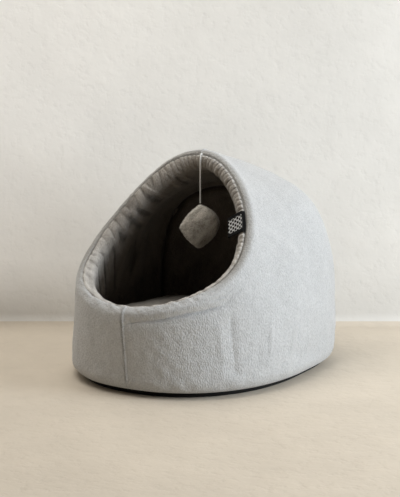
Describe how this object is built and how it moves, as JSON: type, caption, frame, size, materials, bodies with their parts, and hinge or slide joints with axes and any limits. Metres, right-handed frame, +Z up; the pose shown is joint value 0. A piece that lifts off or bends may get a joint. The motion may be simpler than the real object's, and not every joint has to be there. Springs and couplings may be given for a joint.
{
  "type": "plush cat cave",
  "caption": "Padded plush igloo for a cat, with a slanted gathered mouth, a floor pad inside and a stuffed toy on a cord at the apex.",
  "frame": {"origin": "on the floor under the middle of the cave's box, at the underside of the sole", "axes": "+Z up, -Y towards the slanted mouth, +X to the right of someone who looks into the mouth from the front"},
  "size_m": [0.3652, 0.4138, 0.3342],
  "materials": {
    "shell_plush": "short pile, matte",
    "lining_plush": "short pile, matte",
    "cushion_plush": "short pile, matte",
    "sole_cloth": "coated woven cloth",
    "toy_plush": "short pile, matte",
    "toy_cord": "twisted cord",
    "tag_cloth": "woven ribbon"
  },
  "bodies": {
    "root": {"shell_left": "shell_plush", "shell_right": "shell_plush", "lining_tunnel": "lining_plush", "lining_back": "lining_plush", "cushion": "cushion_plush", "sole": "sole_cloth", "toy": "toy_plush", "toy_cord": "toy_cord", "tag": "tag_cloth"}
  },
  "joints": []
}
